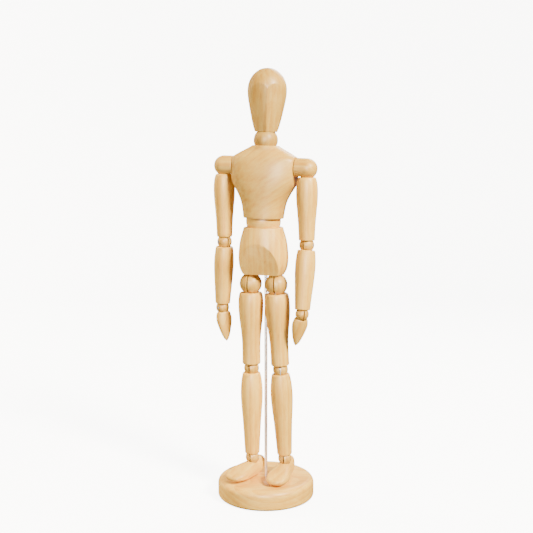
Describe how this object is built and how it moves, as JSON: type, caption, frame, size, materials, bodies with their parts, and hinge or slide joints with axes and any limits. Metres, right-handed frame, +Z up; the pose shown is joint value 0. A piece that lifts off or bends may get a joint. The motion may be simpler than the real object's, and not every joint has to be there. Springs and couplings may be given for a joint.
{
  "type": "artist mannequin",
  "caption": "Poseable wooden human figure with ball joints, standing on a steel rod in a round wooden base, used as a drawing model.",
  "frame": {"origin": "centre of the round base's underside, where it stands on a table", "axes": "+Z up along the support rod; the viewer of the picture stands on the -Y side, and the figure faces -Y turned 20 degrees towards -X"},
  "size_m": [0.0713, 0.0682, 0.2999],
  "materials": {
    "base": "satin",
    "support_rod": "polished",
    "pelvis": "satin",
    "waist_spring": "plain",
    "waist_ball": "satin",
    "chest": "satin",
    "shoulder_spring": "plain",
    "neck_spring": "plain",
    "neck_ball": "satin",
    "head": "satin",
    "right_shoulder_ball": "satin",
    "right_shoulder_pin": "plain",
    "right_upper_arm": "satin",
    "right_shoulder_tongue": "plain",
    "right_elbow_ball": "satin",
    "right_elbow_pin": "plain",
    "right_forearm": "satin",
    "right_elbow_tongue": "plain",
    "right_wrist_ball": "satin",
    "right_wrist_pin": "plain",
    "right_hand": "satin",
    "right_wrist_tongue": "plain",
    "right_hip_ball": "satin",
    "right_hip_pin": "plain",
    "right_thigh": "satin",
    "right_hip_tongue": "plain",
    "right_knee_ball": "satin",
    "right_knee_pin": "plain",
    "right_shin": "satin",
    "right_knee_tongue": "plain",
    "right_ankle_ball": "satin",
    "right_ankle_pin": "plain",
    "right_foot": "satin",
    "right_ankle_tongue": "plain",
    "left_shoulder_ball": "satin",
    "left_shoulder_pin": "plain",
    "left_upper_arm": "satin",
    "left_shoulder_tongue": "plain",
    "left_elbow_ball": "satin",
    "left_elbow_pin": "plain",
    "left_forearm": "satin",
    "left_elbow_tongue": "plain",
    "left_wrist_ball": "satin",
    "left_wrist_pin": "plain",
    "left_hand": "satin",
    "left_wrist_tongue": "plain",
    "left_hip_ball": "satin",
    "left_hip_pin": "plain",
    "left_thigh": "satin",
    "left_hip_tongue": "plain",
    "left_knee_ball": "satin",
    "left_knee_pin": "plain",
    "left_shin": "satin",
    "left_knee_tongue": "plain",
    "left_ankle_ball": "satin",
    "left_ankle_pin": "plain",
    "left_foot": "satin",
    "left_ankle_tongue": "plain"
  },
  "bodies": {
    "base": {"base": "base"},
    "support_rod": {"support_rod": "support_rod"},
    "pelvis": {"pelvis": "pelvis"},
    "waist_spring": {"waist_spring": "waist_spring"},
    "waist_ball": {"waist_ball": "waist_ball"},
    "chest": {"chest": "chest", "shoulder_spring": "shoulder_spring"},
    "neck_spring": {"neck_spring": "neck_spring"},
    "neck_ball": {"neck_ball": "neck_ball"},
    "head": {"head": "head"},
    "right_shoulder_ball": {"right_shoulder_ball": "right_shoulder_ball", "right_shoulder_pin": "right_shoulder_pin"},
    "right_upper_arm": {"right_upper_arm": "right_upper_arm", "right_shoulder_tongue": "right_shoulder_tongue"},
    "right_elbow_ball": {"right_elbow_ball": "right_elbow_ball", "right_elbow_pin": "right_elbow_pin"},
    "right_forearm": {"right_forearm": "right_forearm", "right_elbow_tongue": "right_elbow_tongue"},
    "right_wrist_ball": {"right_wrist_ball": "right_wrist_ball", "right_wrist_pin": "right_wrist_pin"},
    "right_hand": {"right_hand": "right_hand", "right_wrist_tongue": "right_wrist_tongue"},
    "right_hip_ball": {"right_hip_ball": "right_hip_ball", "right_hip_pin": "right_hip_pin"},
    "right_thigh": {"right_thigh": "right_thigh", "right_hip_tongue": "right_hip_tongue"},
    "right_knee_ball": {"right_knee_ball": "right_knee_ball", "right_knee_pin": "right_knee_pin"},
    "right_shin": {"right_shin": "right_shin", "right_knee_tongue": "right_knee_tongue"},
    "right_ankle_ball": {"right_ankle_ball": "right_ankle_ball", "right_ankle_pin": "right_ankle_pin"},
    "right_foot": {"right_foot": "right_foot", "right_ankle_tongue": "right_ankle_tongue"},
    "left_shoulder_ball": {"left_shoulder_ball": "left_shoulder_ball", "left_shoulder_pin": "left_shoulder_pin"},
    "left_upper_arm": {"left_upper_arm": "left_upper_arm", "left_shoulder_tongue": "left_shoulder_tongue"},
    "left_elbow_ball": {"left_elbow_ball": "left_elbow_ball", "left_elbow_pin": "left_elbow_pin"},
    "left_forearm": {"left_forearm": "left_forearm", "left_elbow_tongue": "left_elbow_tongue"},
    "left_wrist_ball": {"left_wrist_ball": "left_wrist_ball", "left_wrist_pin": "left_wrist_pin"},
    "left_hand": {"left_hand": "left_hand", "left_wrist_tongue": "left_wrist_tongue"},
    "left_hip_ball": {"left_hip_ball": "left_hip_ball", "left_hip_pin": "left_hip_pin"},
    "left_thigh": {"left_thigh": "left_thigh", "left_hip_tongue": "left_hip_tongue"},
    "left_knee_ball": {"left_knee_ball": "left_knee_ball", "left_knee_pin": "left_knee_pin"},
    "left_shin": {"left_shin": "left_shin", "left_knee_tongue": "left_knee_tongue"},
    "left_ankle_ball": {"left_ankle_ball": "left_ankle_ball", "left_ankle_pin": "left_ankle_pin"},
    "left_foot": {"left_foot": "left_foot", "left_ankle_tongue": "left_ankle_tongue"}
  },
  "joints": [
    {"name": "stand_turn", "type": "hinge", "parent": "base", "child": "support_rod", "pos_m": [0, 0, 0], "axis": [0, 0, 1], "continuous": true},
    {"name": "figure_lift", "type": "slide", "parent": "support_rod", "child": "pelvis", "axis": [0, 0, 1], "range_m": [0, 0.018]},
    {"name": "waist_turn", "type": "hinge", "parent": "pelvis", "child": "waist_spring", "pos_m": [-0.0017, -0.0047, 0.1968], "axis": [0.0295, -0.0107, 0.9995], "range_deg": [-90, 90]},
    {"name": "waist_bend", "type": "hinge", "parent": "waist_spring", "child": "waist_ball", "pos_m": [-0.0017, -0.0047, 0.1968], "axis": [0.9392, -0.3419, -0.0314], "range_deg": [-20, 20], "deforming": ["waist_spring"]},
    {"name": "chest_turn", "type": "hinge", "parent": "waist_ball", "child": "chest", "pos_m": [-0.0017, -0.0047, 0.1968], "axis": [0.0295, -0.0107, 0.9995], "range_deg": [-90, 90]},
    {"name": "neck_turn", "type": "hinge", "parent": "chest", "child": "neck_spring", "pos_m": [-0.00008, -0.00529, 0.25177], "axis": [0.0295, -0.0107, 0.9995], "range_deg": [-90, 90]},
    {"name": "neck_tilt", "type": "hinge", "parent": "neck_spring", "child": "neck_ball", "pos_m": [-0.00008, -0.00529, 0.25177], "axis": [0.342, 0.9397, 0], "range_deg": [-30, 30], "deforming": ["neck_spring"]},
    {"name": "neck_nod", "type": "hinge", "parent": "neck_ball", "child": "head", "pos_m": [-0.00008, -0.00529, 0.25177], "axis": [0.9392, -0.3419, -0.0314], "range_deg": [-35, 35]},
    {"name": "right_shoulder_swing", "type": "hinge", "parent": "chest", "child": "right_shoulder_ball", "pos_m": [-0.02889, 0.00519, 0.23453], "axis": [-0.9392, 0.3419, 0.0314], "range_deg": [-60, 170]},
    {"name": "right_arm_raise", "type": "hinge", "parent": "right_shoulder_ball", "child": "right_upper_arm", "pos_m": [-0.02889, 0.00519, 0.23453], "axis": [0.342, 0.9397, 0], "range_deg": [0, 90]},
    {"name": "right_elbow_twist", "type": "hinge", "parent": "right_upper_arm", "child": "right_elbow_ball", "pos_m": [-0.02889, 0.00519, 0.18163], "axis": [0, 0, -1], "continuous": true},
    {"name": "right_elbow_bend", "type": "hinge", "parent": "right_elbow_ball", "child": "right_forearm", "pos_m": [-0.02889, 0.00519, 0.18163], "axis": [-0.8387, -0.5446, 0], "range_deg": [-55, 10]},
    {"name": "right_wrist_twist", "type": "hinge", "parent": "right_forearm", "child": "right_wrist_ball", "pos_m": [-0.03067, 0.00794, 0.13474], "axis": [-0.038, 0.0585, -0.9976], "range_deg": [-90, 90]},
    {"name": "right_wrist_bend", "type": "hinge", "parent": "right_wrist_ball", "child": "right_hand", "pos_m": [-0.03067, 0.00794, 0.13474], "axis": [-0.6432, -0.7654, -0.0204], "range_deg": [-55, 35]},
    {"name": "right_hip_twist", "type": "hinge", "parent": "pelvis", "child": "right_hip_ball", "pos_m": [-0.01053, -0.00148, 0.1531], "axis": [0.0049, -0.0018, -1], "range_deg": [0, 5]},
    {"name": "right_hip_bend", "type": "hinge", "parent": "right_hip_ball", "child": "right_thigh", "pos_m": [-0.01053, -0.00148, 0.1531], "axis": [-0.9397, 0.342, -0.0052], "range_deg": [-5, 80]},
    {"name": "right_knee_twist", "type": "hinge", "parent": "right_thigh", "child": "right_knee_ball", "pos_m": [-0.01013, -0.0013, 0.093], "axis": [0.0067, 0.0031, -1], "range_deg": [-3, 8]},
    {"name": "right_knee_bend", "type": "hinge", "parent": "right_knee_ball", "child": "right_shin", "pos_m": [-0.01013, -0.0013, 0.093], "axis": [0.9397, -0.342, 0.0052], "range_deg": [-30, 55]},
    {"name": "right_ankle_twist", "type": "hinge", "parent": "right_shin", "child": "right_ankle_ball", "pos_m": [-0.0097, -0.00109, 0.0282], "axis": [0.0067, 0.0031, -1], "range_deg": [-5, 8]},
    {"name": "right_ankle_bend", "type": "hinge", "parent": "right_ankle_ball", "child": "right_foot", "pos_m": [-0.0097, -0.00109, 0.0282], "axis": [-0.9272, 0.3746, -0.005], "range_deg": [-4, 35]},
    {"name": "left_shoulder_swing", "type": "hinge", "parent": "chest", "child": "left_shoulder_ball", "pos_m": [0.02766, -0.01538, 0.23264], "axis": [-0.9392, 0.3419, 0.0314], "range_deg": [-60, 170]},
    {"name": "left_arm_raise", "type": "hinge", "parent": "left_shoulder_ball", "child": "left_upper_arm", "pos_m": [0.02766, -0.01538, 0.23264], "axis": [-0.342, -0.9397, 0], "range_deg": [-1, 90]},
    {"name": "left_elbow_twist", "type": "hinge", "parent": "left_upper_arm", "child": "left_elbow_ball", "pos_m": [0.02766, -0.01538, 0.18124], "axis": [0, 0, 1], "continuous": true},
    {"name": "left_elbow_bend", "type": "hinge", "parent": "left_elbow_ball", "child": "left_forearm", "pos_m": [0.02766, -0.01538, 0.18124], "axis": [-0.8387, 0.5446, 0], "range_deg": [-55, 55]},
    {"name": "left_wrist_twist", "type": "hinge", "parent": "left_forearm", "child": "left_wrist_ball", "pos_m": [0.02454, -0.02019, 0.13459], "axis": [0.0664, 0.1022, 0.9925], "range_deg": [-90, 90]},
    {"name": "left_wrist_bend", "type": "hinge", "parent": "left_wrist_ball", "child": "left_hand", "pos_m": [0.02454, -0.02019, 0.13459], "axis": [-0.9532, -0.2876, 0.0934], "range_deg": [-30, 55]},
    {"name": "left_hip_twist", "type": "hinge", "parent": "pelvis", "child": "left_hip_ball", "pos_m": [0.00713, -0.00792, 0.1531], "axis": [-0.0393, 0.0143, 0.9991], "range_deg": [0, 45]},
    {"name": "left_hip_bend", "type": "hinge", "parent": "left_hip_ball", "child": "left_thigh", "pos_m": [0.00713, -0.00792, 0.1531], "axis": [-0.9651, 0.2585, -0.0417], "range_deg": [-5, 80]},
    {"name": "left_knee_twist", "type": "hinge", "parent": "left_thigh", "child": "left_knee_ball", "pos_m": [0.01015, -0.00634, 0.0931], "axis": [-0.0502, -0.0261, 0.9984], "range_deg": [0, 45]},
    {"name": "left_knee_bend", "type": "hinge", "parent": "left_knee_ball", "child": "left_shin", "pos_m": [0.01015, -0.00634, 0.0931], "axis": [0.9975, -0.0521, 0.0487], "range_deg": [-30, 55]},
    {"name": "left_ankle_twist", "type": "hinge", "parent": "left_shin", "child": "left_ankle_ball", "pos_m": [0.0134, -0.00465, 0.0284], "axis": [-0.0502, -0.0261, 0.9984], "range_deg": [-5, 45]},
    {"name": "left_ankle_bend", "type": "hinge", "parent": "left_ankle_ball", "child": "left_foot", "pos_m": [0.0134, -0.00465, 0.0284], "axis": [-0.9694, 0.2416, -0.0424], "range_deg": [-2, 35]}
  ]
}
